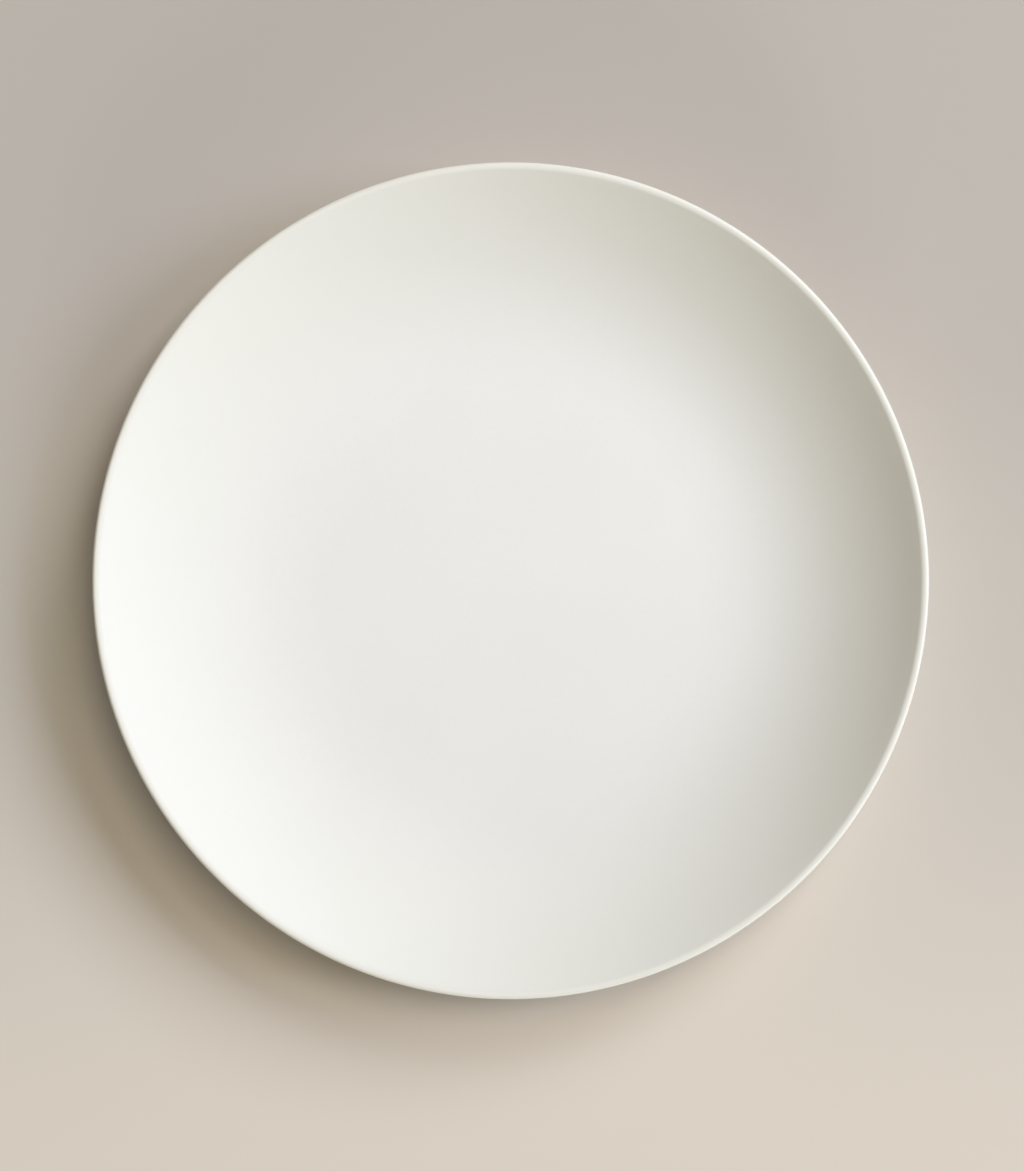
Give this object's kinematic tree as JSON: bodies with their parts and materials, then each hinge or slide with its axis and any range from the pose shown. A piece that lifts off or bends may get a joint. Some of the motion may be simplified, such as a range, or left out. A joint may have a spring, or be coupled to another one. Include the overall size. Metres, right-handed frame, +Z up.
{
  "type": "coupe dinner plate",
  "caption": "Round coupe dinner plate with a flat well, a wall that sweeps up in one curve to a rounded lip, and a low foot ring.",
  "frame": {"origin": "on the table, in the middle of the foot ring", "axes": "+Z up along the plate's axis, out of the well; X and Y are any two directions across the round plate"},
  "size_m": [0.27, 0.27, 0.028],
  "materials": {
    "bare_clay": "matt, fine-grained fired clay, sanded smooth on the land",
    "satin_glaze": "satin-matt warm white glaze"
  },
  "bodies": {
    "root": {"clay_body": "bare_clay", "face_glaze": "satin_glaze", "base_glaze": "satin_glaze"}
  },
  "joints": []
}
